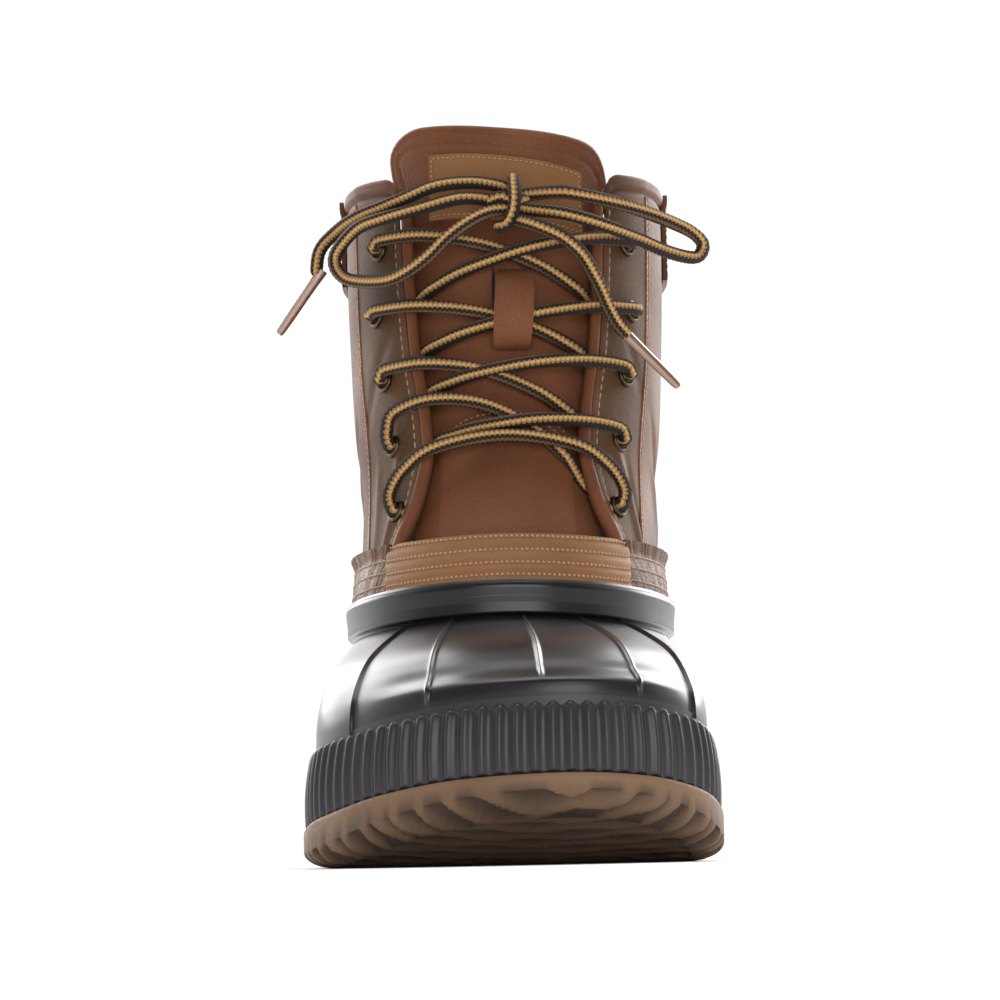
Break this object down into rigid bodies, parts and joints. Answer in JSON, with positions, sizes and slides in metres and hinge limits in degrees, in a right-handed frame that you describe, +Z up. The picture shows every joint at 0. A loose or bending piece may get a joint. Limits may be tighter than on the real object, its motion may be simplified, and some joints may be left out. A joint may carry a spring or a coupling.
{
  "type": "duck boot",
  "caption": "Ankle-high lace-up duck boot for the right foot: gum outsole, ribbed rubber rand and shell, leather shaft, tongue and bow-tied round lace.",
  "frame": {"origin": "on the floor, under the middle of the outsole's length and width", "axes": "+Z up, -Y towards the toe, +X towards the inner side of the foot"},
  "size_m": [0.1315, 0.3019, 0.223],
  "materials": {
    "gum_rubber": "matt gum rubber",
    "dark_rubber": "soft satin black-brown rubber",
    "insole_foam": "matt cloth-faced foam",
    "brown_leather": "waxed satin leather",
    "tan_leather": "satin leather",
    "antique_brass": "antique satin brass",
    "striped_lace": "woven round lace, dark with gold zigzag",
    "aglet_film": "clear film over the lace"
  },
  "bodies": {
    "root": {"outsole": "gum_rubber", "rand": "dark_rubber", "rubber_shell": "dark_rubber", "insole": "insole_foam", "leather_upper": "brown_leather", "side_strap": "brown_leather", "collar_cuff": "brown_leather", "throat_binding_lateral": "brown_leather", "throat_binding_medial": "brown_leather", "tongue": "brown_leather", "lace_keeper": "brown_leather", "front_strap": "tan_leather", "tongue_patch": "tan_leather", "eyelet_lateral_1": "antique_brass", "eyelet_lateral_2": "antique_brass", "eyelet_lateral_3": "antique_brass", "eyelet_lateral_4": "antique_brass", "eyelet_lateral_5": "antique_brass", "eyelet_medial_1": "antique_brass", "eyelet_medial_2": "antique_brass", "eyelet_medial_3": "antique_brass", "eyelet_medial_4": "antique_brass", "eyelet_medial_5": "antique_brass", "lace_row_1": "striped_lace", "lace_row_2": "striped_lace", "lace_row_3": "striped_lace", "lace_row_4": "striped_lace", "lace_bar": "striped_lace", "lace_knot": "striped_lace", "bow_loop_lateral": "striped_lace", "bow_loop_medial": "striped_lace", "lace_end_lateral": "striped_lace", "lace_end_medial": "striped_lace", "aglet_lateral": "aglet_film", "aglet_medial": "aglet_film"}
  },
  "joints": []
}
